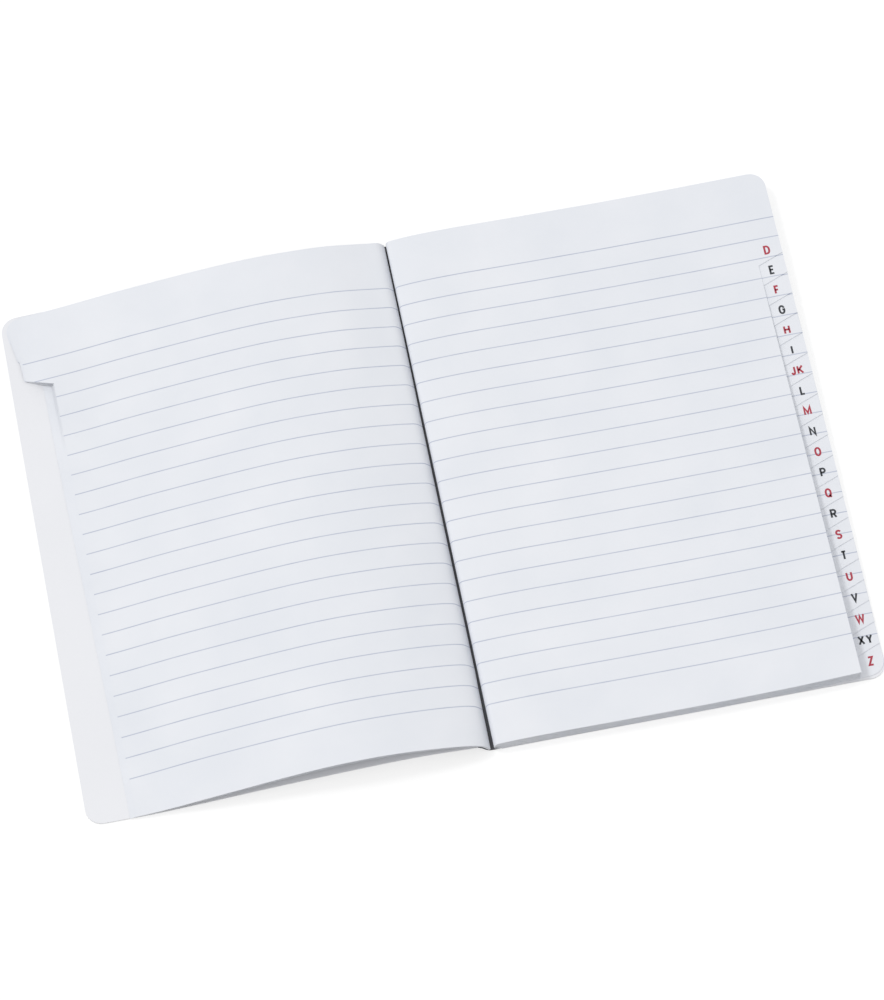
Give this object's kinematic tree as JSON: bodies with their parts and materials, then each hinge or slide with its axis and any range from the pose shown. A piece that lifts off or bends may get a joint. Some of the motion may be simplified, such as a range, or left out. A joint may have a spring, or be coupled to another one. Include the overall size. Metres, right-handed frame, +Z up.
{
  "type": "address book",
  "caption": "Open A5 address book lying flat, with ruled leaves, stepped letter tabs, a soft card cover and a cloth spine tape.",
  "frame": {"origin": "centre of the open book's footprint, on the surface it lies on", "axes": "+X across the spread from the front cover to the back cover, +Y along the spine to the head of the pages, +Z up"},
  "size_m": [0.2974, 0.21, 0.0139],
  "materials": {
    "paper": "matt white writing paper with pale blue ruled lines and red and black tab letters",
    "cover_card": "smooth white card",
    "spine_cloth": "matt dark navy book cloth",
    "binding_glue": "thin glue film that dried clear over the dark cloth"
  },
  "bodies": {
    "page_block": {"leaf_block": "paper", "spine_tape": "spine_cloth", "binding_glue": "binding_glue"},
    "front_cover": {"front_cover": "cover_card", "turned_leaves": "paper"},
    "back_cover": {"back_cover": "cover_card"}
  },
  "joints": [
    {"name": "front_cover_hinge", "type": "hinge", "parent": "page_block", "child": "front_cover", "pos_m": [0.0002, 0, 0.0075], "axis": [0, 1, 0], "range_deg": [0, 180], "deforming": ["turned_leaves"]},
    {"name": "back_cover_hinge", "type": "hinge", "parent": "page_block", "child": "back_cover", "pos_m": [0.0041, 0, 0], "axis": [0, 1, 0], "range_deg": [0, 178]}
  ]
}
